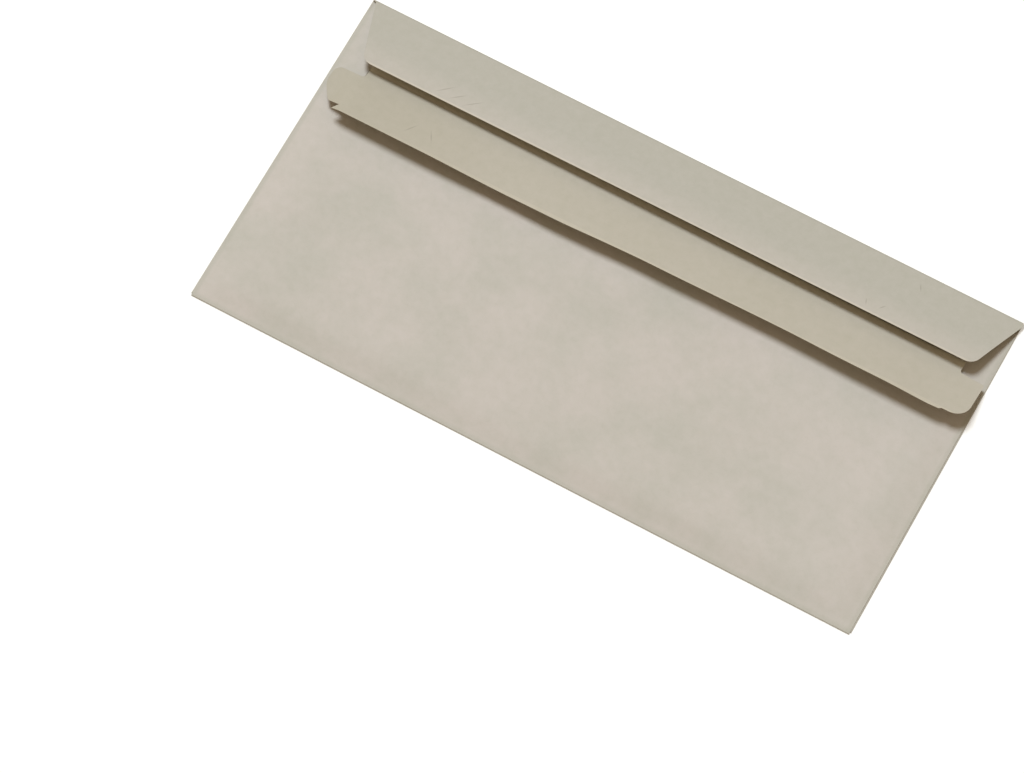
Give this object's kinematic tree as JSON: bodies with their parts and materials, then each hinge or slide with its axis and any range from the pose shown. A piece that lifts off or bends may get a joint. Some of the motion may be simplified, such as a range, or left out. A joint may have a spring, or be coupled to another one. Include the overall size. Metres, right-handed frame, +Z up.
{
  "type": "self-seal envelope",
  "caption": "Long paper envelope folded from one sheet, with a closing flap and a counter flap that carry self-seal latex gum.",
  "frame": {"origin": "middle of the address panel's outer face, which the envelope lies on", "axes": "+X along the envelope's length, +Y towards the top fold that carries the closing flap, +Z up through the back panel"},
  "size_m": [0.22, 0.11, 0.0069],
  "materials": {
    "paper_outer": "matte",
    "paper_inner": "matte",
    "latex_gum": "satin",
    "seam_glue": "satin"
  },
  "bodies": {
    "pocket": {"front_panel": "paper_outer", "bottom_fold": "paper_outer", "back_panel": "paper_outer", "left_side_fold": "paper_outer", "left_side_flap": "paper_outer", "left_seam_glue": "seam_glue", "right_side_fold": "paper_outer", "right_side_flap": "paper_outer", "right_seam_glue": "seam_glue", "closing_flap_crease": "paper_outer", "counter_flap_crease": "paper_inner"},
    "closing_flap": {"closing_flap": "paper_outer", "closing_flap_gum": "latex_gum"},
    "counter_flap": {"counter_flap": "paper_inner", "counter_flap_gum": "latex_gum"}
  },
  "joints": [
    {"name": "closing_flap_hinge", "type": "hinge", "parent": "pocket", "child": "closing_flap", "pos_m": [0, 0.0544, 0.0006], "axis": [-1, 0, 0], "range_deg": [-10, 165]},
    {"name": "counter_flap_hinge", "type": "hinge", "parent": "pocket", "child": "counter_flap", "pos_m": [0, 0.035, 0.00154], "axis": [-1, 0, 0], "range_deg": [-10, 165]}
  ],
  "couplings": [
    {"joint": "counter_flap_hinge", "follows": "closing_flap_hinge", "ratio": 1}
  ]
}
